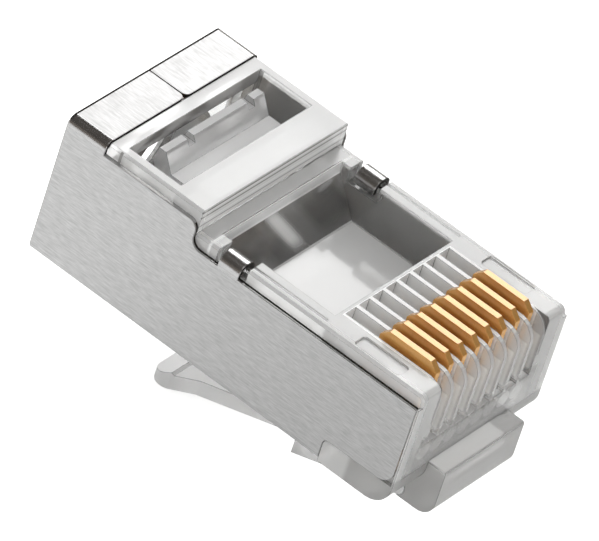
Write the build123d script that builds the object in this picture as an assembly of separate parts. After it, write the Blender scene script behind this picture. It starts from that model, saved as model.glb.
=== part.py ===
from build123d import *
from math import radians, tan
import os

os.makedirs("parts", exist_ok=True)

# A shielded eight-way modular plug, as it is before it is crimped, in millimetres.
# The front face of the body is the plane y = 0 and the cable end points along +Y.
# The bottom of the body, the side with the latch, is the plane z = 0. x = 0 is the middle.

# Body over the shield
body_length = 21.7
body_width = 11.5
nose_height = 6.75          # top of the low front part
step_height = 1.4           # how much higher the rear part is, over its folded flaps
rear_length = 8.0           # of the high rear part
sheet = 0.22                # thickness of the shield's sheet
shield_fit = 0.02           # clearance between the sheet and the moulding, each side

# Shield outline, seen from the side
shield_front_y = 0.13
bare_nose = 0.65            # height of moulding that stands bare above the sides, beside the nose
bare_rear = 0.7             # the same beside the rear part
shield_step_round = 0.5
shield_front_round = 0.8    # lower front corner of each side
notch_length = 4.1          # clears the guide tabs of the socket
notch_height = 1.4
notch_round = 0.3
fold_round = 0.5            # outside radius of every fold along the plug
flap_length = 2.3
flap_seam = 0.06
flap_seam_x = 0.15
flap_corner = 0.35

# Hooks of the shield over the side rails
hook_to_ledge = 0.8
hook_width = 1.2
hook_inset = 0.05           # from the rail's inner face to the tip of the hook
hook_stand = 0.05           # above the nose
hook_round = 0.55           # outside radius of its bends
hook_drop = 0.75            # straight leg of the tip, going down into the pocket
hook_gap = 0.3              # from each side of the hook to the rail

# Housing
under_flap = 0.03           # clearance below the flaps
rear_top_drop = 0.1         # the moulding's top lies this much below the flaps' top
rear_inset = 0.1            # its rear face stands this much inside the shield
edge_chamfer = 0.12
top_front_round = 0.35
bottom_front_round = 1.25
lip_inset = 0.05            # the front lip and shoulders stand this much inside the shield's sides
wall = 0.56                 # side walls of the cable cavity
floor_thickness = 0.6
roof_thickness = 0.8
band_length = 1.83          # roof between the step and the rear window
rear_window_length = 3.12
ledge_length = 0.85         # low shelf in front of the step
ledge_thickness = 0.55
groove_side = 1.51          # from the recess in the face of the step to each side of the housing
groove_slant = 0.3
groove_edge = 0.25          # strip left above and below the recess
groove_depth = 0.25

# Pocket between the ledge and the contacts, with the roof over the wires as its floor
rail_width = 1.01           # top of the side walls beside the pocket
pocket_front_y = 6.18
ramp_length = 1.45
ramp_wall = 0.6             # between the ramp and the cable cavity, along the plug
wire_roof_rise = 1.15       # from the wires' axes to the underside of the roof over them
wire_roof_thickness = 0.55
rail_groove_inset = 0.55
rail_groove = 0.12

# Wire guides
wire_pitch = 1.02
wire_count = 8
wire_bore = 0.92
guide_front_y = 0.6
guide_setback = 1.2         # from the foot of the ramp to the mouths of the guides
guide_gap_drop = 0.9        # from the wires' axes to the floor of the space behind the guides

# Cable entry
entry_wall = 0.63           # least wall between the round entry and the outside
entry_length = 2.4
entry_lead = 0.3            # lead-in round the mouth

# Contacts and their slots
blade_thickness = 0.34
blade_fit = 0.03            # clearance on each side of a blade
blade_front_y = 0.75
blade_length = 3.35
blade_stand = 0.5           # above the nose before crimping
blade_height = 4.0
blade_chamfer = 0.45
blade_teeth = 3
tooth_height = 0.75
tooth_flat = 0.14           # share of each tooth's pitch left flat on each side
crimp_travel = 1.1
tooth_bite = 0.25           # how far the crimped teeth reach below the wires' axes
slot_sill = 0.9             # from the wires' axes up to where the slots open over the front face
slot_lip = 0.65             # upright top of each slot's sloping rear end
slot_mouth = 1.75           # depth of the wide upper part of the slots; below it they fit the blades
rib_thickness = 0.26        # of the thin ribs between the wide parts
cross_wall = 0.22           # between the slots and the pocket
rib_round = 1.0             # front top corner of the ribs
comb_margin = 0.53          # from the middle of the outer blades to the end of that rounding

# Shallow pockets beside the comb
side_pocket_margin = 0.23   # from the housing's side
side_pocket_width = 0.88
side_pocket_front_y = 1.75
side_pocket_length = 2.7
side_pocket_depth = 0.11
side_pocket_round = 0.2

# Latch
latch_width = 6.1
root_reach = 1.05           # how far the root block stands out in front of the body
root_top = 1.65
root_drop = 1.2             # below the body
root_round = 0.9
root_edge = 0.15
hinge_y = 1.15
hinge_drop = 0.72           # centre of the bend, below the body
hinge_radius = 0.46
hinge_fit = 0.03
latch_angle = 17.0          # of the relaxed lever to the body
shoulder_y = 6.8
shoulder_thickness = 1.35
lever_width = 3.2
lever_thickness = 0.85
lever_end_y = 15.85
thumb_length = 1.35
thumb_width = 4.0
thumb_ridge = 0.15          # height of the ridge across the lever where the thumb end starts
thumb_tip = 0.45            # thickness at the tip
thumb_round = 1.3

# Strain relief bar in the rear window
bar_side_gap = 1.25         # to each side of the cavity
bar_web_length = 1.32
bar_slope_length = 0.6
bar_top_width = 0.4
bar_heel = 0.2              # how much the bar spreads below its top, behind
bar_lip = 0.4               # height of the sloping lip over the pressing edge
bar_drop = 1.2              # from the top of the bar to its pressing edge
web_drop = 0.95             # from the top of the housing to the web
web_thickness = 0.25
web_fit = 0.03
bar_hinge_radius = 0.3
bar_notch_width = 0.45
bar_notch_depth = 0.3
bar_notch_places = (-0.25, 0.36)    # as shares of the bar's width

# Worked out from the sizes above
rear_height = nose_height + step_height
step_y = body_length - rear_length
flap_front_y = body_length - flap_length
ledge_front_y = step_y - ledge_length
ramp_foot_y = ledge_front_y - ramp_length
hook_front_y = ledge_front_y - hook_to_ledge - hook_width
guide_rear_y = ramp_foot_y - guide_setback
rear_window_front_y = step_y + band_length
rear_window_rear_y = rear_window_front_y + rear_window_length
shield_nose_top = nose_height - bare_nose
shield_rear_top = rear_height - bare_rear
shield_half = body_width / 2
housing_half = shield_half - sheet - shield_fit
housing_bottom = sheet + shield_fit
lip_half = shield_half - lip_inset
rear_top = rear_height - rear_top_drop
housing_rear_y = body_length - rear_inset
under_flap_z = rear_height - sheet - under_flap
cavity_half = housing_half - wall
cavity_floor = housing_bottom + floor_thickness
cavity_roof = rear_top - roof_thickness
cavity_rear_y = housing_rear_y - entry_length
entry_z = (housing_bottom + under_flap_z) / 2
cable_radius = (under_flap_z - housing_bottom) / 2 - entry_wall
pocket_half = housing_half - rail_width
comb_half_width = (wire_count - 1) * wire_pitch / 2 + comb_margin
slot_width = blade_thickness + 2 * blade_fit
slot_mouth_width = wire_pitch - rib_thickness
slot_mouth_z = nose_height - slot_mouth
slot_rear_y = pocket_front_y - cross_wall
blade_rear_y = blade_front_y + blade_length
blade_top = nose_height + blade_stand
blade_bottom = blade_top - blade_height
slot_floor_z = blade_bottom - crimp_travel - blade_fit
wire_z = blade_bottom - crimp_travel + tooth_bite
wire_roof_under = wire_z + wire_roof_rise
slot_sill_z = wire_z + slot_sill
pocket_floor_z = wire_roof_under + wire_roof_thickness
ramp_top_z = nose_height - ledge_thickness
ramp_slope = (ramp_top_z - pocket_floor_z) / ramp_length
hinge_z = -hinge_drop
bar_width = 2 * (cavity_half - bar_side_gap)
bar_crease_y = rear_window_front_y + bar_web_length
bar_top_front_y = bar_crease_y + bar_slope_length
bar_top_rear_y = bar_top_front_y + bar_top_width
web_top_z = rear_top - web_drop
web_bottom_z = web_top_z - web_thickness
past = 1.0                  # how far a cut runs on past the face that it opens
reach = 2 * body_length     # longer than the plug, for cuts that pass all the way through


def prism(points, width, middle=0.0):
    """Carry an outline of (y, z) corners across the plug, centred on x = middle."""
    outline = Plane.YZ * Polygon(*points, align=None)
    return Pos(middle, 0, 0) * extrude(outline, width / 2, both=True)


def rounded(points, rounds):
    """A flat outline with some corners rounded: rounds maps a corner's number to its radius."""
    outline = Polygon(*points, align=None)
    for number, radius in rounds.items():
        nearest = outline.vertices().sort_by_distance(Vector(*points[number]))[0]
        outline = fillet(nearest, radius)
    return outline


def rounded_prism(points, width, rounds):
    """Carry an outline of (y, z) corners with rounded corners across the plug."""
    return extrude(Plane.YZ * rounded(points, rounds), width / 2, both=True)


def block(x_range, y_range, z_range):
    """A box between two values on each axis."""
    lows = [min(pair) for pair in (x_range, y_range, z_range)]
    sides = [abs(pair[1] - pair[0]) for pair in (x_range, y_range, z_range)]
    return Pos(*lows) * Box(*sides, align=(Align.MIN, Align.MIN, Align.MIN))


def cross_pin(y, z, radius, width):
    """A round bar that lies across the plug."""
    return Pos(0, y, z) * Rot(0, 90, 0) * Cylinder(radius, width)


def wire_places():
    """x of each wire guide and contact, from left to right."""
    return [(number - (wire_count - 1) / 2) * wire_pitch for number in range(wire_count)]


def housing_envelope():
    """Outside of the moulding, without its hollows and without the latch."""
    notch_y = notch_length - shield_fit
    side_view = [
        (0, 0), (notch_y, 0), (notch_y, housing_bottom),
        (housing_rear_y, housing_bottom), (housing_rear_y, under_flap_z),
        (flap_front_y - under_flap, under_flap_z), (flap_front_y - under_flap, rear_top),
        (step_y, rear_top), (step_y, nose_height), (0, nose_height),
    ]
    last = len(side_view) - 1
    rounds = {0: bottom_front_round, last: top_front_round}
    body = rounded_prism(side_view, 2 * housing_half, rounds)
    sides = body.edges().filter_by(Axis.Y).filter_by(lambda e: abs(e.center().X) > pocket_half)
    folded = sides.filter_by(lambda e: abs(e.center().Z - housing_bottom) < shield_fit
                             or abs(e.center().Z - under_flap_z) < shield_fit)
    body = fillet(folded, fold_round - sheet - shield_fit)
    bare = body.edges().filter_by(Axis.Y).filter_by(
        lambda e: min(abs(e.center().Z - rear_top), abs(e.center().Z - nose_height)) < shield_fit)
    body = chamfer(bare, edge_chamfer)
    lip_y = shield_front_y - shield_fit
    shoulder_z = notch_height - shield_fit
    lip = [(0, 0), (notch_y, 0), (notch_y, shoulder_z), (lip_y, shoulder_z),
           (lip_y, shield_nose_top), (0, shield_nose_top)]
    return body + rounded_prism(lip, 2 * lip_half, {0: bottom_front_round, 2: notch_round})


def ramp_y(z):
    """y of the line that the ramp lies on, at a height of z."""
    return ramp_foot_y + (z - pocket_floor_z) / ramp_slope


def cable_cavity():
    """The hollow for the cable: a round entry, a square chamber and a throat down to the wires."""
    ledge_roof = nose_height - roof_thickness
    throat_y = ramp_foot_y - wire_roof_thickness
    gap_floor = wire_z - guide_gap_drop
    chamber = prism([
        (cavity_rear_y, cavity_floor), (cavity_rear_y, cavity_roof),
        (rear_window_front_y, cavity_roof), (rear_window_front_y, ledge_roof),
        (ramp_y(ledge_roof) + ramp_wall, ledge_roof),
        (ramp_y(wire_roof_under) + ramp_wall, wire_roof_under), (guide_rear_y, wire_roof_under),
        (guide_rear_y, gap_floor), (throat_y, gap_floor), (step_y, cavity_floor),
    ], 2 * cavity_half)
    mouth = Plane(origin=(0, housing_rear_y, entry_z), z_dir=(0, -1, 0))
    entry = mouth * extrude(Circle(cable_radius), entry_length)
    lead = mouth * Pos(0, 0, entry_lead / 2) * Cone(
        cable_radius + entry_lead, cable_radius, entry_lead)
    window = block((-cavity_half, cavity_half), (rear_window_front_y, rear_window_rear_y),
                   (cavity_roof - past, rear_height + past))
    return chamber + entry + lead + window


def wire_guides():
    """Round channels side by side, blind at the front."""
    length = guide_rear_y - guide_front_y + wire_roof_thickness
    start = Plane(origin=(0, guide_front_y, wire_z), z_dir=(0, 1, 0))
    channel = start * extrude(Circle(wire_bore / 2), length)
    return [Pos(x, 0, 0) * channel for x in wire_places()]


def contact_slots():
    """Slots for the blades: wide between thin ribs at the top and in front, and close round the blades below."""
    slot_front_y = blade_front_y - blade_fit
    behind_blade_y = blade_rear_y + blade_fit
    wide_part = [
        (-past, slot_sill_z), (-past, nose_height + past), (slot_rear_y, nose_height + past),
        (slot_rear_y, nose_height - slot_lip), (behind_blade_y, slot_mouth_z),
        (slot_front_y, slot_mouth_z), (slot_front_y, slot_sill_z),
    ]
    close_part = [
        (slot_front_y, slot_floor_z), (slot_front_y, slot_mouth_z),
        (behind_blade_y, slot_mouth_z), (behind_blade_y, slot_floor_z),
    ]
    wide = [prism(wide_part, slot_mouth_width, x) for x in wire_places()]
    return wide + [prism(close_part, slot_width, x) for x in wire_places()]


def front_pocket():
    """The pocket in the top of the nose: a flat floor and a ramp up to the ledge."""
    side_view = [
        (pocket_front_y, pocket_floor_z), (ramp_foot_y, pocket_floor_z),
        (ledge_front_y, ramp_top_z), (ledge_front_y, nose_height + past),
        (pocket_front_y, nose_height + past),
    ]
    return prism(side_view, 2 * pocket_half)


def comb_rounding():
    """What is cut away in front of the ribs to round their top front corners."""
    square = block((-comb_half_width, comb_half_width), (-past, rib_round),
                   (nose_height - rib_round, nose_height + past))
    return square - cross_pin(rib_round, nose_height - rib_round, rib_round, reach)


def side_details(side):
    """Cuts in the top of one side block: a shallow pocket, the rail groove and the hook's gap."""
    outer = housing_half - side_pocket_margin
    shallow = block((side * outer, side * (outer - side_pocket_width)),
                    (side_pocket_front_y, side_pocket_front_y + side_pocket_length),
                    (nose_height - side_pocket_depth, nose_height + past))
    shallow = fillet(shallow.edges().filter_by(Axis.Z), side_pocket_round)
    groove_x = pocket_half + rail_groove_inset
    groove = block((side * (groove_x - rail_groove / 2), side * (groove_x + rail_groove / 2)),
                   (pocket_front_y, hook_front_y), (nose_height - rail_groove, nose_height + past))
    gap = block((side * (pocket_half - hook_inset), side * reach),
                (hook_front_y - hook_gap, hook_front_y + hook_width + hook_gap),
                (shield_nose_top - sheet, nose_height + past))
    return shallow + groove + gap


def step_groove():
    """The recess across the face of the step, with sloping ends."""
    bottom = nose_height + groove_edge
    top = rear_top - groove_edge
    half = housing_half - groove_side
    outline = [(-half - groove_slant, top), (half + groove_slant, top), (half, bottom), (-half, bottom)]
    face = Plane.XZ.offset(-(step_y + groove_depth)) * Polygon(*outline, align=None)
    return extrude(face, groove_depth + past)


def latch_root():
    """The block at the front of the body that carries the latch, hollowed to seat the lever's root."""
    behind_y = hinge_y - root_edge
    side_view = [
        (-root_reach, root_top), (-root_reach, -root_drop), (behind_y, -root_drop),
        (behind_y, hinge_z), (hinge_y + hinge_radius, 0), (2 * hinge_y, 0), (2 * hinge_y, root_top),
    ]
    root = rounded_prism(side_view, latch_width, {0: root_edge, 1: root_round})
    return root - cross_pin(hinge_y, hinge_z, hinge_radius + hinge_fit, reach)


def make_housing():
    """The clear moulding, without the latch lever and the strain relief bar."""
    housing = housing_envelope() + latch_root()
    housing -= cable_cavity()
    housing -= front_pocket()
    housing -= comb_rounding()
    housing -= step_groove()
    for side in (-1, 1):
        housing -= side_details(side)
    for cut in wire_guides() + contact_slots():
        housing -= cut
    return housing - bar_seat()


def latch_line(y):
    """z of the lever's lower face: flat below the root, then sloping away from the body."""
    return -root_drop - tan(radians(latch_angle)) * max(0.0, y - hinge_y)


def make_latch_lever():
    """The springy lever: a wide front part with two locking shoulders, a narrow arm and a thumb end."""
    wide = prism([
        (hinge_y, latch_line(hinge_y) + hinge_fit), (hinge_y, hinge_z + hinge_radius / 2),
        (shoulder_y, latch_line(shoulder_y) + shoulder_thickness), (shoulder_y, latch_line(shoulder_y)),
    ], latch_width)
    barrel = cross_pin(hinge_y, hinge_z, hinge_radius, latch_width)
    thumb_y = lever_end_y - thumb_length
    arm_y = shoulder_y - lever_width / 2
    side_view = [
        (arm_y, latch_line(arm_y)), (arm_y, latch_line(arm_y) + lever_thickness),
        (thumb_y - thumb_ridge, latch_line(thumb_y - thumb_ridge) + lever_thickness),
        (thumb_y, latch_line(thumb_y) + lever_thickness + thumb_ridge),
        (lever_end_y, latch_line(lever_end_y) + thumb_tip), (lever_end_y, latch_line(lever_end_y)),
    ]
    half_arm = lever_width / 2
    half_thumb = thumb_width / 2
    plan = rounded([
        (-half_arm, arm_y), (half_arm, arm_y), (half_arm, thumb_y - thumb_length), (half_thumb, thumb_y),
        (half_thumb, lever_end_y), (-half_thumb, lever_end_y), (-half_thumb, thumb_y),
        (-half_arm, thumb_y - thumb_length),
    ], {4: thumb_round, 5: thumb_round})
    arm = prism(side_view, thumb_width) & extrude(plan, -reach)
    return wide + barrel + arm


def bar_section():
    """Side view of the strain relief bar: hinge web, sloping front, flat top and pressing edge."""
    pressing_z = rear_top - bar_drop
    return [
        (rear_window_front_y, web_top_z), (bar_crease_y, web_top_z),
        (bar_top_front_y, rear_top), (bar_top_rear_y, rear_top),
        (bar_top_rear_y + bar_heel, pressing_z + bar_lip), (bar_top_rear_y - bar_heel / 2, pressing_z),
        (bar_crease_y - bar_heel, web_bottom_z), (rear_window_front_y, web_bottom_z),
    ]


def bar_pin(radius, width):
    """A round bar on the axis about which the strain relief bends, in the rear face of the band."""
    return cross_pin(rear_window_front_y, (web_top_z + web_bottom_z) / 2, radius, width)


def bar_seat():
    """Round seat in the band for the root of the strain relief bar."""
    return bar_pin(bar_hinge_radius + web_fit, bar_width + 2 * web_fit)


def make_strain_relief():
    """The bar that is pressed down onto the cable's jacket."""
    bar = prism(bar_section(), bar_width) + bar_pin(bar_hinge_radius, bar_width)
    for share in bar_notch_places:
        x = share * bar_width
        bar -= block((x - bar_notch_width / 2, x + bar_notch_width / 2),
                     (bar_top_front_y - bar_heel, reach), (rear_top - bar_notch_depth, reach))
    return bar


def shield_sides():
    """Side view of the whole folded sheet, with its notch, step and rounded corners."""
    side_view = [
        (notch_length, 0), (body_length, 0), (body_length, rear_height), (flap_front_y, rear_height),
        (flap_front_y, shield_rear_top), (step_y, shield_rear_top), (step_y, shield_nose_top),
        (shield_front_y, shield_nose_top), (shield_front_y, notch_height), (notch_length, notch_height),
    ]
    rounds = {5: shield_step_round, 6: shield_step_round, 8: shield_front_round, 9: notch_round}
    return rounded_prism(side_view, body_width + past, rounds)


def make_hook(side):
    """One curled tab that rises from the side, bends over the rail and dips into the pocket."""
    top = nose_height + hook_stand
    tip = pocket_half + hook_inset
    root = shield_nose_top - past
    outline = rounded([
        (shield_half, root), (shield_half, top), (tip, top), (tip, top - hook_drop),
        (tip + sheet, top - hook_drop), (tip + sheet, top - sheet),
        (shield_half - sheet, top - sheet), (shield_half - sheet, root),
    ], {1: hook_round, 2: hook_round, 5: hook_round - sheet, 6: hook_round - sheet})
    hook = extrude(Plane.XZ.offset(-hook_front_y) * outline, -hook_width)
    return hook if side > 0 else mirror(hook, Plane.YZ)


def make_shield():
    """The folded sheet: a rounded tube cut to the side view, with seamed flaps and two hooks."""
    start = Plane(origin=(0, 0, rear_height / 2), x_dir=(1, 0, 0), z_dir=(0, -1, 0))
    outer = start * RectangleRounded(body_width, rear_height, fold_round)
    inner = start * RectangleRounded(body_width - 2 * sheet, rear_height - 2 * sheet, fold_round - sheet)
    tube = extrude(outer - inner, -body_length)
    shield = tube & shield_sides()
    shield -= block((flap_seam_x - flap_seam / 2, flap_seam_x + flap_seam / 2),
                    (flap_front_y - past, reach), (rear_height / 2, reach))
    corners = shield.edges().filter_by(Axis.Z).filter_by(
        lambda e: e.center().Z > rear_height - sheet and abs(e.center().X - flap_seam_x) < flap_seam
        and e.center().Y < flap_front_y + shield_fit)
    shield = fillet(corners, flap_corner)
    return shield + make_hook(1) + make_hook(-1)


def make_contact(x):
    """One gilt blade with chamfered top corners and piercing teeth."""
    root_z = blade_bottom + tooth_height
    outline = [(blade_front_y, root_z), (blade_front_y, blade_top - blade_chamfer),
               (blade_front_y + blade_chamfer, blade_top), (blade_rear_y - blade_chamfer, blade_top),
               (blade_rear_y, blade_top - blade_chamfer), (blade_rear_y, root_z)]
    tooth_pitch = blade_length / blade_teeth
    half_tooth = (0.5 - tooth_flat) * tooth_pitch
    for number in reversed(range(blade_teeth)):
        tip_y = blade_front_y + (number + 0.5) * tooth_pitch
        outline += [(tip_y + half_tooth, root_z), (tip_y, blade_bottom), (tip_y - half_tooth, root_z)]
    return prism(outline, blade_thickness, x)


nodes = {
    "housing": make_housing(),
    "shield": make_shield(),
    "latch_lever": make_latch_lever(),
    "strain_relief_bar": make_strain_relief(),
}
for number, x in enumerate(wire_places(), start=1):
    nodes[f"contact_{number}"] = make_contact(x)

for name, solid in nodes.items():
    export_step(solid, f"parts/{name}.step")
    print(name, round(solid.volume, 2))
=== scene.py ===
import math
import bpy
from mathutils import Matrix, Vector


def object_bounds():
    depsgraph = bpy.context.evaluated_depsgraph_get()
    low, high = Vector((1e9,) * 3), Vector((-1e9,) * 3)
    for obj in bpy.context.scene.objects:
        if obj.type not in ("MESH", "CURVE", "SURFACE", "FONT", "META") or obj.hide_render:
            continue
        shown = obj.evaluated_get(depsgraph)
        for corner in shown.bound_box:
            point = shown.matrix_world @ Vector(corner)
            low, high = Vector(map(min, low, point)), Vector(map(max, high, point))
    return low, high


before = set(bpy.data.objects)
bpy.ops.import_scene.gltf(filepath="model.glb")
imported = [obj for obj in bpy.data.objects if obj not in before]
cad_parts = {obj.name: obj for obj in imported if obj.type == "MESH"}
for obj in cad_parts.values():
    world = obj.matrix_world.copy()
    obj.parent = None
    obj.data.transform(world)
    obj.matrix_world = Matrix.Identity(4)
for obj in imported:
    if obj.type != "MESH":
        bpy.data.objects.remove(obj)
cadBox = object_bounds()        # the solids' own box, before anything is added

mm = 0.001

# settings that many nodes share
times, largest, without = [{"operation": name} for name in ("MULTIPLY", "MAXIMUM", "SUBTRACT")]
size, above, below = [{"operation": name} for name in ("ABSOLUTE", "GREATER_THAN", "LESS_THAN")]
dot, scaleAndMove = {"operation": "DOT_PRODUCT"}, {"operation": "MULTIPLY_ADD"}
smooth = {"interpolation_type": "SMOOTHSTEP"}
ofColours, ofNumbers = {"data_type": "RGBA"}, {"data_type": "FLOAT"}


def hexToLinear(code):
    # sRGB hex to linear: a straight line near black and a power of 2.4 above it
    channels = [int(code[i:i + 2], 16) / 255 for i in (1, 3, 5)]
    linear = [c / 12.92 if c <= 0.04045 else ((c + 0.055) / 1.055) ** 2.4 for c in channels]
    return (*linear, 1.0)


def addNode(tree, kind, settings=None, **inputs):
    # one node with its settings and links: an input goes by its name, or by its number after an i, and is
    # a value, a socket to link from, or a node whose first output is linked
    node = tree.nodes.new(kind)
    for name, value in (settings or {}).items():
        setattr(node, name, value)
    for name, value in inputs.items():
        numbered = name[0] == "i" and name[1:].isdigit()
        socket = node.inputs[int(name[1:]) if numbered else name.replace("_", " ")]
        if isinstance(value, bpy.types.Node):
            value = value.outputs[0]
        if isinstance(value, bpy.types.NodeSocket):
            tree.links.new(value, socket)
        else:
            socket.default_value = value
    return node


def newMaterial(name):
    material = bpy.data.materials.new(name)
    material.use_nodes = True
    material.node_tree.nodes.clear()
    return material, material.node_tree


def objectPoints(tree, across, along, upward):
    # places on the plug, divided by a pattern's real size on each axis
    place = addNode(tree, "ShaderNodeTexCoord").outputs["Object"]
    return addNode(tree, "ShaderNodeMapping", Vector=place, Scale=(1 / across, 1 / along, 1 / upward))


# Places of the moulding in mm. satin is how dull the mould left them, milky how much of the light the melt
# keeps back, the shade share how much painted shade darkens their colour, and soft how wide their borders
# fade. Their extent has None where a side is open: x counts from the middle to each side, and the band axis
# is x plus the lean times z, which runs across a painted band of light on the sloping rear wall of the
# pocket.
paintedBandLean = 0.8
rampAlong = (12.0, 12.6)        # the sloping rear wall of the pocket
stepFace = (13.67, 13.73)
ledgeTop = (6.72, 6.78)
moulded = [
    {"satin": 0.45, "milky": 0.36, "soft": 0.6,                             # front face
     "y": (None, 0.6), "z": (3.9, None)},
    {"satin": 0.45, "milky": 0.36, "soft": 0.5,                             # its outer ends
     "x": (4.6, None), "y": (None, 0.6)},
    {"satin": 0.4, "milky": 0.32, "soft": 0.5,                              # foot of the nose
     "y": (None, 0.6), "z": (None, 2.8)},
    {"satin": 0.6, "milky": 0.48, "paintedShade": 0.5, "soft": 0.3,                 # latch root, greyed by painted shade
     "y": (None, 2.4), "z": (None, 1.5)},
    {"satin": 0.1, "milky": 0.3, "soft": 0.1,                               # sill of the slots
     "x": (None, 4.3), "y": (None, 0.72), "z": (3.25, 3.35)},
    {"satin": 0.6, "milky": 0.85, "soft": 0.1,                              # comb
     "x": (None, 4.1), "y": (0.7, 6.0), "z": (4.9, 6.9)},
    {"satin": 0.4, "milky": 0.65, "soft": 0.25,                             # fronts of its ribs
     "x": (None, 4.1), "y": (0.2, 1.6), "z": (3.7, 5.6)},
    {"milky": 0.6, "paintedShade": 0.95, "soft": 0.05,                              # its ends, painted dark as shade
     "x": (4.06, 4.14), "y": (None, 1.6), "z": (4.5, 6.7)},
    {"satin": 0.5, "milky": 0.5, "soft": 0.1,                               # top of the nose
     "y": (None, 12.8), "z": (6.6, 6.9)},
    {"satin": 0.6, "milky": 0.48, "soft": 0.2, "x": (5.2, None)},           # outer sides
    {"satin": 0.12, "milky": 0.72, "soft": 0.05,                            # floor of the pocket
     "x": (None, 4.6), "y": (6.2, 11.45), "z": (4.05, 4.15)},
    {"satin": 0.3, "milky": 0.7, "soft": 0.65,                              # painted band of light across the ramp
     "paintedBand": (4.0, 4.2), "y": rampAlong, "z": (4.4, 6.1)},
    {"paintedShade": 0.5, "soft": 0.9,                                              # painted shade on each side of it
     "paintedBand": (6.3, 8.2), "y": rampAlong, "z": (4.6, 6.1)},
    {"paintedShade": 0.35, "soft": 0.9,
     "paintedBand": (0.8, 2.4), "y": rampAlong, "z": (4.6, 6.1)},
    {"satin": 1.0, "milky": 1.0, "soft": 0.05,                              # lip of the ledge
     "y": (12.8, 12.9), "z": (6.15, 6.8)},
    {"paintedShade": 1.0, "soft": 0.03,                                             # painted dark line of shade behind the lip
     "x": (None, 4.5), "y": (12.92, 12.96), "z": ledgeTop},
    {"satin": 0.35, "milky": 0.42, "soft": 0.05,                            # top of the ledge
     "y": (12.9, 13.65), "z": ledgeTop},
    {"satin": 0.4, "milky": 0.78, "soft": 0.05,                             # face of the step
     "y": stepFace, "z": (6.85, 8.0)},
    {"milky": 1.0, "soft": 0.05, "y": stepFace, "z": (7.8, 7.84)},          # painted highlight lines on it, for bright images of its inner edges
    {"milky": 1.0, "soft": 0.05, "y": stepFace, "z": (7.3, 7.34)},
    {"paintedShade": 1.0, "soft": 0.04, "y": stepFace, "z": (7.9, 7.95)},           # and painted dark lines of shade
    {"paintedShade": 1.0, "soft": 0.04, "y": stepFace, "z": (7.6, 7.64)},
    {"paintedShade": 0.9, "soft": 0.04, "y": stepFace, "z": (7.1, 7.12)},
    {"satin": 0.65, "milky": 0.6, "soft": 0.05,                             # top of the rear part
     "y": (13.6, 19.4), "z": (8.02, None)},
    {"satin": 0.6, "milky": 0.8, "paintedShade": 0.9, "soft": 0.05,                 # rear wall of the window, darkened by painted shade
     "y": (18.6, 18.7), "z": (5.0, 8.0)},
    {"paintedShade": 0.8, "soft": 0.05,                                             # its side walls, darkened by painted shade
     "x": (4.65, 4.75), "y": (15.5, 18.7), "z": (4.0, 8.0)},
]


def placeMask(tree, places, quality):
    # how much of a quality a point has, from the strongest place round it: inside a place the share of each
    # side is 1, and past the side it falls to 0 over the soft border
    point = addNode(tree, "ShaderNodeSeparateXYZ", Vector=objectPoints(tree, mm, mm, mm))
    x, y, z = point.outputs
    along = {"x": addNode(tree, "ShaderNodeMath", size, i0=x), "y": y, "z": z,
             "paintedBand": addNode(tree, "ShaderNodeMath", scaleAndMove, i0=z, i1=paintedBandLean, i2=x)}
    mask = 0.0
    for place in [place for place in places if quality in place]:
        share = place[quality]
        for axis in [axis for axis in along if axis in place]:
            for limit, border in zip(place[axis], (-place["soft"], place["soft"])):
                if limit is not None:
                    side = addNode(tree, "ShaderNodeMapRange", smooth, Value=along[axis],
                                   i1=limit + border, i2=limit)
                    share = addNode(tree, "ShaderNodeMath", times, i0=side, i1=share)
        mask = addNode(tree, "ShaderNodeMath", largest, i0=share, i1=mask)
    return mask


# Polycarbonate, injection moulded and clear: the melt's faint waves bend what is seen through it. Its sharp
# edges are painted a near-black colour as dark hair lines of shade, and painted shade greys it at some
# places.
# clear is the share of light let through, and the bar and the lever are satin all over.
clearPlastic = {
    "colour": "#FBFBFA", "paintedShadeColour": "#82807E", "ior": 1.585,
    "roughness": 0.05, "satinRoughness": 0.45, "clear": 0.92, "milkyClear": 0.25,
    "wave": 2.6 * mm, "waveHeight": 0.003 * mm, "waveDetail": 2.0,
    "edge": 0.07 * mm, "edgeShadeColour": "#33312F", "edgeSatin": 0.9, "edgeSamples": 6,
    "edgeFull": 0.85, "edgeEnd": 0.98,      # cosine of the rounded normal to the flat one, on and beside it
}
satinPlastic = {**clearPlastic, "colour": "#FBFBFB", "roughness": 0.34, "clear": 0.80, "wave": 0.9 * mm}


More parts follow.
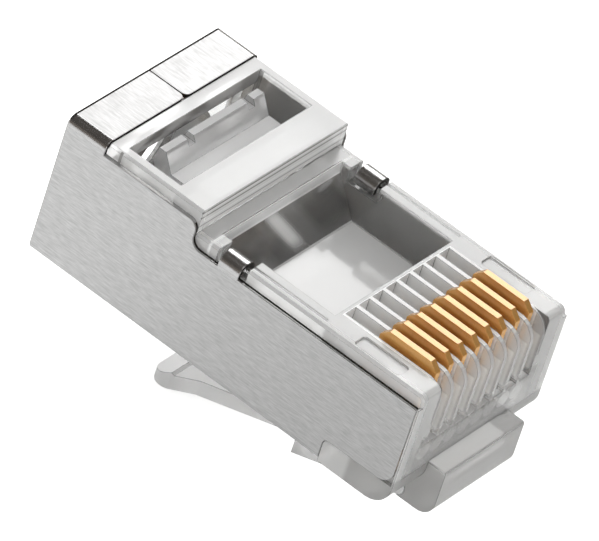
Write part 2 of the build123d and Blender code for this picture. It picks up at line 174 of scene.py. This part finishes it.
def mouldedPolycarbonate(name, look, places):
    material, tree = newMaterial(name)
    melt = addNode(tree, "ShaderNodeTexNoise", Scale=1.0, Detail=look["waveDetail"],
                   Vector=objectPoints(tree, look["wave"], look["wave"], look["wave"]))
    bump = addNode(tree, "ShaderNodeBump", Strength=1.0, Distance=look["waveHeight"], Height=melt)
    # an edge is where the rounded normal leaves the flat one, which is turned round when seen from inside
    rounded = addNode(tree, "ShaderNodeBevel", {"samples": look["edgeSamples"]}, Radius=look["edge"])
    flat = addNode(tree, "ShaderNodeNewGeometry").outputs["True Normal"]
    level = addNode(tree, "ShaderNodeVectorMath", dot, i0=rounded, i1=flat).outputs["Value"]
    level = addNode(tree, "ShaderNodeMath", size, i0=level)
    edge = addNode(tree, "ShaderNodeMapRange", smooth, Value=level, i1=look["edgeFull"], i2=look["edgeEnd"],
                   i3=look["edgeSatin"], i4=0.0)
    satin, milky = [addNode(tree, "ShaderNodeMath", largest, i0=placeMask(tree, places, quality), i1=edge)
                    for quality in ("satin", "milky")]
    # painted shade: the colour is darkened towards a dark grey by each place's shade share
    colour = addNode(tree, "ShaderNodeMix", ofColours, i0=placeMask(tree, places, "paintedShade"),
                     i6=hexToLinear(look["colour"]), i7=hexToLinear(look["paintedShadeColour"]))
    # painted shade: edges are darkened towards a near-black colour, drawing the dark hair lines
    colour = addNode(tree, "ShaderNodeMix", ofColours, i0=edge, i6=colour.outputs[2],
                     i7=hexToLinear(look["edgeShadeColour"]))
    rough = addNode(tree, "ShaderNodeMapRange", Value=satin, i3=look["roughness"],
                    i4=look["satinRoughness"])
    clear = addNode(tree, "ShaderNodeMapRange", Value=milky, i3=look["clear"], i4=look["milkyClear"])
    shader = addNode(tree, "ShaderNodeBsdfPrincipled", Base_Color=colour.outputs[2], IOR=look["ior"],
                     Roughness=rough, Transmission_Weight=clear, Normal=bump)
    addNode(tree, "ShaderNodeOutputMaterial", Surface=shader)
    return material


# Places of the shield's sheet, in the same form as those of the moulding but with sharp borders.
sharp = 0.001
burr = 5.66         # the sheared edge is painted dark as shade up to here, and left bright outside it, where it is rolled
worked = [
    {"hook": 1.0, "burnished": 1.0, "soft": sharp, "y": (None, 12.5), "z": (6.0, None)},
    {"hookTop": 1.0, "soft": sharp, "z": (6.5, None)},
    {"burnished": 1.0, "soft": sharp, "x": (5.25, None), "z": (7.65, None)},        # folds at the flaps
    {"levelEdge": 1.0, "soft": sharp, "x": (None, burr), "z": (0.3, 7.6)},          # from floor to flaps
    {"endEdge": 1.0, "soft": sharp, "x": (None, burr)},
    {"rolledEndShade": 1.0, "soft": sharp, "y": (21.6, None), "z": (8.0, None)},          # rear end of the flaps, painted dark for the dark reflection of its rolled edge
]

# Nickel plated brass sheet, brushed along the plug: short hair lines, and a soft sheen across them. Sheared
# edges are dull and painted near black as shade, which also draws the dark reflection along the flaps'
# rolled rear end; folds are burnished by the tool. The inside, whose faces look towards the plug's long axis
# at the middle height, is painted darker and browner as shade, in random patches.
brushedNickel = {
    "light": "#C6C6C6", "dark": "#ABABAB", "roughness": 0.42, "roughnessSpread": 0.03,
    "streakWidth": 0.07 * mm, "streakLength": 0.7 * mm, "streakDepth": 0.0008 * mm,
    "streakDetail": 4.0, "streakRoughness": 0.65, "streaksFrom": 0.3, "streaksTo": 0.7,
    "inside": "#B4A494", "insideWorn": "#443B33", "middle": 3.7 * mm,
    "insideShadePatch": 3.2 * mm, "insideShadeFrom": 0.42, "insideShadeTo": 0.58,
    "burnished": 0.22, "shearedShade": "#3A3734", "shearedRoughness": 0.6,
    "sideways": 0.5, "straight": 0.7,       # parts of a face's normal that say which way it looks
    "edge": 0.09 * mm, "edgeSamples": 4,
}


def brushedNickelSheet(name, look, places):
    material, tree = newMaterial(name)
    streaks = addNode(tree, "ShaderNodeTexNoise", Scale=1.0, Detail=look["streakDetail"],
                      Roughness=look["streakRoughness"],
                      Vector=objectPoints(tree, look["streakWidth"], look["streakLength"],
                                          look["streakWidth"]))
    shade = addNode(tree, "ShaderNodeMapRange", Value=streaks, i1=look["streaksFrom"], i2=look["streaksTo"])
    brushed = addNode(tree, "ShaderNodeMix", ofColours, i0=shade, i6=hexToLinear(look["dark"]),
                      i7=hexToLinear(look["light"]))
    rough = addNode(tree, "ShaderNodeMapRange", Value=shade, i3=look["roughness"] + look["roughnessSpread"],
                    i4=look["roughness"] - look["roughnessSpread"])

    flat = addNode(tree, "ShaderNodeNewGeometry").outputs["True Normal"]
    fromAxis = addNode(tree, "ShaderNodeVectorMath", scaleAndMove, i1=(1, 0, 1), i2=(0, 0, -look["middle"]),
                       i0=addNode(tree, "ShaderNodeTexCoord").outputs["Object"])
    outwards = addNode(tree, "ShaderNodeVectorMath", dot, i0=fromAxis, i1=flat).outputs["Value"]
    inwards = addNode(tree, "ShaderNodeMath", below, i0=outwards, i1=0.0)
    inwards = addNode(tree, "ShaderNodeMath", without, i0=inwards, i1=placeMask(tree, places, "hook"))
    patches = addNode(tree, "ShaderNodeTexNoise", Scale=1.0,
                      Vector=objectPoints(tree, look["insideShadePatch"], look["insideShadePatch"], look["insideShadePatch"]))
    patches = addNode(tree, "ShaderNodeMapRange", smooth, Value=patches, i1=look["insideShadeFrom"],
                      i2=look["insideShadeTo"])
    # painted shade: faces turned inwards are coloured darker and browner, in random patches
    inside = addNode(tree, "ShaderNodeMix", ofColours, i0=patches, i6=hexToLinear(look["inside"]),
                     i7=hexToLinear(look["insideWorn"]))
    colour = addNode(tree, "ShaderNodeMix", {**ofColours, "clamp_factor": True}, i0=inwards,
                     i6=brushed.outputs[2], i7=inside.outputs[2])
    rough = addNode(tree, "ShaderNodeMix", ofNumbers, i0=placeMask(tree, places, "burnished"), i2=rough,
                    i3=look["burnished"])

    # a sheared edge looks along the plug, or up or down, except on top of the hooks, and is painted near
    # black as shade
    facing = addNode(tree, "ShaderNodeSeparateXYZ", Vector=flat)
    sideways, lengthwise = [addNode(tree, "ShaderNodeMath", size, i0=facing.outputs[axis]) for axis in "XY"]
    notSide = addNode(tree, "ShaderNodeMath", below, i0=sideways, i1=look["sideways"])
    endwise = addNode(tree, "ShaderNodeMath", above, i0=lengthwise, i1=look["straight"])
    upwards = addNode(tree, "ShaderNodeMath", above, i0=facing.outputs["Z"], i1=look["straight"])
    hookTop = addNode(tree, "ShaderNodeMath", times, i0=upwards, i1=placeMask(tree, places, "hookTop"))
    notHook = addNode(tree, "ShaderNodeMath", without, i0=1.0, i1=hookTop)
    levelEdge = addNode(tree, "ShaderNodeMath", times, i0=notSide, i1=placeMask(tree, places, "levelEdge"))
    levelEdge = addNode(tree, "ShaderNodeMath", times, i0=levelEdge, i1=notHook)
    endEdge = addNode(tree, "ShaderNodeMath", times, i0=endwise, i1=placeMask(tree, places, "endEdge"))
    shearedShade = addNode(tree, "ShaderNodeMath", largest, i0=levelEdge, i1=endEdge)
    shearedShade = addNode(tree, "ShaderNodeMath", largest, i0=shearedShade, i1=placeMask(tree, places, "rolledEndShade"))
    colour = addNode(tree, "ShaderNodeMix", ofColours, i0=shearedShade, i6=colour.outputs[2],
                     i7=hexToLinear(look["shearedShade"]))
    rough = addNode(tree, "ShaderNodeMix", ofNumbers, i0=shearedShade, i2=rough, i3=look["shearedRoughness"])

    rounded = addNode(tree, "ShaderNodeBevel", {"samples": look["edgeSamples"]}, Radius=look["edge"])
    bump = addNode(tree, "ShaderNodeBump", Strength=1.0, Distance=look["streakDepth"], Height=streaks,
                   Normal=rounded)
    shader = addNode(tree, "ShaderNodeBsdfPrincipled", Base_Color=colour.outputs[2], Metallic=1.0,
                     Roughness=rough, Normal=bump)
    addNode(tree, "ShaderNodeOutputMaterial", Surface=shader)
    return material


# Gold plate on stamped phosphor bronze: orange in its own shade and pale where it catches the light, with
# faint shear lines on the flanks. A thin protective film gives the flat tops their whitish sheen.
goldPlate = {
    "light": "#FFCC78", "dark": "#F4B862", "roughness": 0.54,
    "shearWidth": 0.05 * mm, "shearLength": 0.9 * mm, "shearDepth": 0.0008 * mm, "shearDetail": 3.0,
    "film": 0.95, "filmIor": 1.7, "filmRoughness": 0.2,
    "edge": 0.05 * mm, "edgeSamples": 4,
}


def goldPlatedBronze(name, look):
    material, tree = newMaterial(name)
    shear = addNode(tree, "ShaderNodeTexNoise", Scale=1.0, Detail=look["shearDetail"],
                    Vector=objectPoints(tree, look["shearWidth"], look["shearWidth"], look["shearLength"]))
    colour = addNode(tree, "ShaderNodeMix", ofColours, i0=shear, i6=hexToLinear(look["dark"]),
                     i7=hexToLinear(look["light"]))
    rounded = addNode(tree, "ShaderNodeBevel", {"samples": look["edgeSamples"]}, Radius=look["edge"])
    bump = addNode(tree, "ShaderNodeBump", Strength=1.0, Distance=look["shearDepth"], Height=shear,
                   Normal=rounded)
    shader = addNode(tree, "ShaderNodeBsdfPrincipled", Base_Color=colour.outputs[2], Metallic=1.0,
                     Roughness=look["roughness"], Coat_Weight=look["film"], Coat_IOR=look["filmIor"],
                     Coat_Roughness=look["filmRoughness"], Normal=bump)
    addNode(tree, "ShaderNodeOutputMaterial", Surface=shader)
    return material


def dressNodes():
    clear = mouldedPolycarbonate("polycarbonateMouldedClear", clearPlastic, moulded)
    satin = mouldedPolycarbonate("polycarbonateMouldedSatin", satinPlastic, [])
    nickel = brushedNickelSheet("nickelPlatedSheetBrushed", brushedNickel, worked)
    gold = goldPlatedBronze("goldPlatedBronzeStamped", goldPlate)
    finishes = {"housing": clear, "strain_relief_bar": satin, "latch_lever": satin, "shield": nickel}
    for name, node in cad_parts.items():
        node.data.materials.clear()
        node.data.materials.append(finishes.get(name, gold))
    print("materials on", len(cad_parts), "pieces")


def seenByEye(tree, path):
    # 1 for a ray from the camera, straight or through something clear
    return addNode(tree, "ShaderNodeMath", largest, i0=path.outputs["Is Camera Ray"],
                   i1=path.outputs["Is Transmission Ray"])


# A sheet of pale paper. By eye it also glows, so that it turns white round the shadow. In a mirror the glow
# starts behind the plug's front, in mm along it, and fades with the distance to its right.
floorLook = {
    "size": 0.6, "gap": 0.02 * mm, "colour": "#F2F2F1", "glow": 0.62,
    "mirrored": 0.5, "mirroredFrom": 2 * mm, "mirroredTo": 30 * mm,
    "farShare": 0.25, "fadesFrom": 18 * mm, "fadesTo": 50 * mm,
}


def makeFloor():
    # a square just below the plug's lowest point
    half = floorLook["size"] / 2
    z = cadBox[0].z - floorLook["gap"]
    mesh = bpy.data.meshes.new("floor")
    mesh.from_pydata([(-half, -half, z), (half, -half, z), (half, half, z), (-half, half, z)],
                     [], [(0, 1, 2, 3)])
    floor = bpy.data.objects.new("floor", mesh)
    bpy.context.scene.collection.objects.link(floor)

    material, tree = newMaterial("floorPaper")
    glow = addNode(tree, "ShaderNodeEmission", Color=(1, 1, 1, 1), Strength=floorLook["glow"])
    paper = addNode(tree, "ShaderNodeBsdfDiffuse", Color=hexToLinear(floorLook["colour"]))
    both = addNode(tree, "ShaderNodeAddShader", i0=glow, i1=paper)
    place = addNode(tree, "ShaderNodeSeparateXYZ", Vector=objectPoints(tree, 1, 1, 1))
    behind = addNode(tree, "ShaderNodeMapRange", smooth, Value=place.outputs["Y"],
                     i1=floorLook["mirroredFrom"], i2=floorLook["mirroredTo"], i4=floorLook["mirrored"])
    near = addNode(tree, "ShaderNodeMapRange", smooth, Value=place.outputs["X"],
                   i1=floorLook["fadesFrom"], i2=floorLook["fadesTo"], i3=1.0, i4=floorLook["farShare"])
    mirrored = addNode(tree, "ShaderNodeMath", times, i0=behind, i1=near)
    path = addNode(tree, "ShaderNodeLightPath")
    mirrored = addNode(tree, "ShaderNodeMath", times, i0=path.outputs["Is Glossy Ray"], i1=mirrored)
    seen = addNode(tree, "ShaderNodeMath", largest, i0=seenByEye(tree, path), i1=mirrored)
    mixed = addNode(tree, "ShaderNodeMixShader", i0=seen, i1=paper, i2=both)
    addNode(tree, "ShaderNodeOutputMaterial", Surface=mixed)
    mesh.materials.append(material)
    print("floor at", round(z / mm, 2), "mm")


# A white room by eye. In a mirror it is warm, and darkens from the horizon to overhead and behind the plug.
# The limits are parts of the direction that a ray takes, upwards and along the plug.
roomLook = {
    "light": 0.73, "ceiling": "#FFF0E2",
    "horizon": 0.34, "overhead": 0.1, "overheadFrom": 0.6,
    "behind": 0.6, "behindFrom": 0.3, "behindTo": 0.6,
}


def makeRoom():
    world = bpy.data.worlds.new("room")
    world.use_nodes = True
    tree = world.node_tree
    tree.nodes.clear()
    path = addNode(tree, "ShaderNodeLightPath")
    inMirror = path.outputs["Is Glossy Ray"]
    direction = addNode(tree, "ShaderNodeSeparateXYZ",
                        Vector=addNode(tree, "ShaderNodeTexCoord").outputs["Generated"])
    upward = addNode(tree, "ShaderNodeMapRange", smooth, Value=direction.outputs["Z"], i1=0.0,
                     i2=roomLook["overheadFrom"], i3=roomLook["horizon"], i4=roomLook["overhead"])
    backward = addNode(tree, "ShaderNodeMapRange", smooth, Value=direction.outputs["Y"],
                       i1=roomLook["behindFrom"], i2=roomLook["behindTo"], i3=1.0, i4=roomLook["behind"])
    ceiling = addNode(tree, "ShaderNodeMath", times, i0=upward, i1=backward)
    strength = addNode(tree, "ShaderNodeMapRange", Value=seenByEye(tree, path), i3=roomLook["light"],
                       i4=1.0)
    strength = addNode(tree, "ShaderNodeMix", ofNumbers, i0=inMirror, i2=strength, i3=ceiling)
    colour = addNode(tree, "ShaderNodeMix", ofColours, i0=inMirror, i6=(1, 1, 1, 1),
                     i7=hexToLinear(roomLook["ceiling"]))
    light = addNode(tree, "ShaderNodeBackground", Color=colour.outputs[2], Strength=strength)
    addNode(tree, "ShaderNodeOutputWorld", Surface=light)
    bpy.context.scene.world = world
    print("room lit at", roomLook["light"])


# Soft boxes: where each stands from the plug's middle in mm, how wide and how strong it is.
# The sheen box stands where the plug's level faces mirror it towards the camera.
softBoxes = {
    "sheenBox": {"place": (105, 53, 93), "size": 60 * mm, "watts": 0.053},
    "keyBox": {"place": (-32, -22, 130), "size": 90 * mm, "watts": 0.04},
    "frontBox": {"place": (-90, -90, 22), "size": 40 * mm, "watts": 0.025},
    "rearBox": {"place": (-60, 110, 30), "size": 50 * mm, "watts": 0.02},
}


def makeLights():
    middle = (cadBox[0] + cadBox[1]) / 2
    for name, box in softBoxes.items():
        data = bpy.data.lights.new(name, "AREA")
        data.shape, data.size, data.energy = "SQUARE", box["size"], box["watts"]
        lamp = bpy.data.objects.new(name, data)
        lamp.location = middle + Vector(box["place"]) * mm
        lamp.rotation_euler = (middle - lamp.location).to_track_quat("-Z", "Y").to_euler()
        lamp.visible_camera = False
        bpy.context.scene.collection.objects.link(lamp)
    print("lights:", len(softBoxes))


# The lens is long, because the plug is seen almost without perspective.
camera = {
    "azimuth": -63.16,      # degrees round the plug, 0 looks along +Y
    "elevation": 38.21,
    "roll": 18.59,          # the plug leans nose down in the picture
    "distance": 527.2 * mm,
    "aim": (0.13 * mm, 10.97 * mm, 3.61 * mm),
    "lens": 688.0, "sensor": 36.0,      # focal length and sensor's width in mm
    "near": 10 * mm, "far": 10000 * mm,
}


def makeCamera():
    azimuth, elevation, roll = [math.radians(camera[key]) for key in ("azimuth", "elevation", "roll")]
    back = Vector((math.sin(azimuth) * math.cos(elevation), -math.cos(azimuth) * math.cos(elevation),
                   math.sin(elevation)))
    level = Vector((math.cos(azimuth), math.sin(azimuth), 0))
    upright = back.cross(level)
    right = level * math.cos(roll) + upright * math.sin(roll)
    up = upright * math.cos(roll) - level * math.sin(roll)
    data = bpy.data.cameras.new("camera")
    data.lens, data.sensor_width = camera["lens"], camera["sensor"]
    data.clip_start, data.clip_end = camera["near"], camera["far"]
    eye = bpy.data.objects.new("camera", data)
    turn = Matrix((right, up, back)).transposed().to_4x4()
    eye.matrix_world = Matrix.Translation(Vector(camera["aim"]) + back * camera["distance"]) @ turn
    bpy.context.scene.collection.objects.link(eye)
    bpy.context.scene.camera = eye
    print("camera", round(camera["distance"] / mm), "mm away")


# light that is caught inside the clear body needs many bounces
bounces = {"max_bounces": 24, "glossy_bounces": 16, "transmission_bounces": 20}


def setPicture():
    bpy.context.scene.view_settings.view_transform = "Standard"
    for name, count in bounces.items():
        setattr(bpy.context.scene.cycles, name, count)
    print("bounces:", bounces["max_bounces"])


makeCamera()
dressNodes()
makeFloor()
makeRoom()
makeLights()
setPicture()
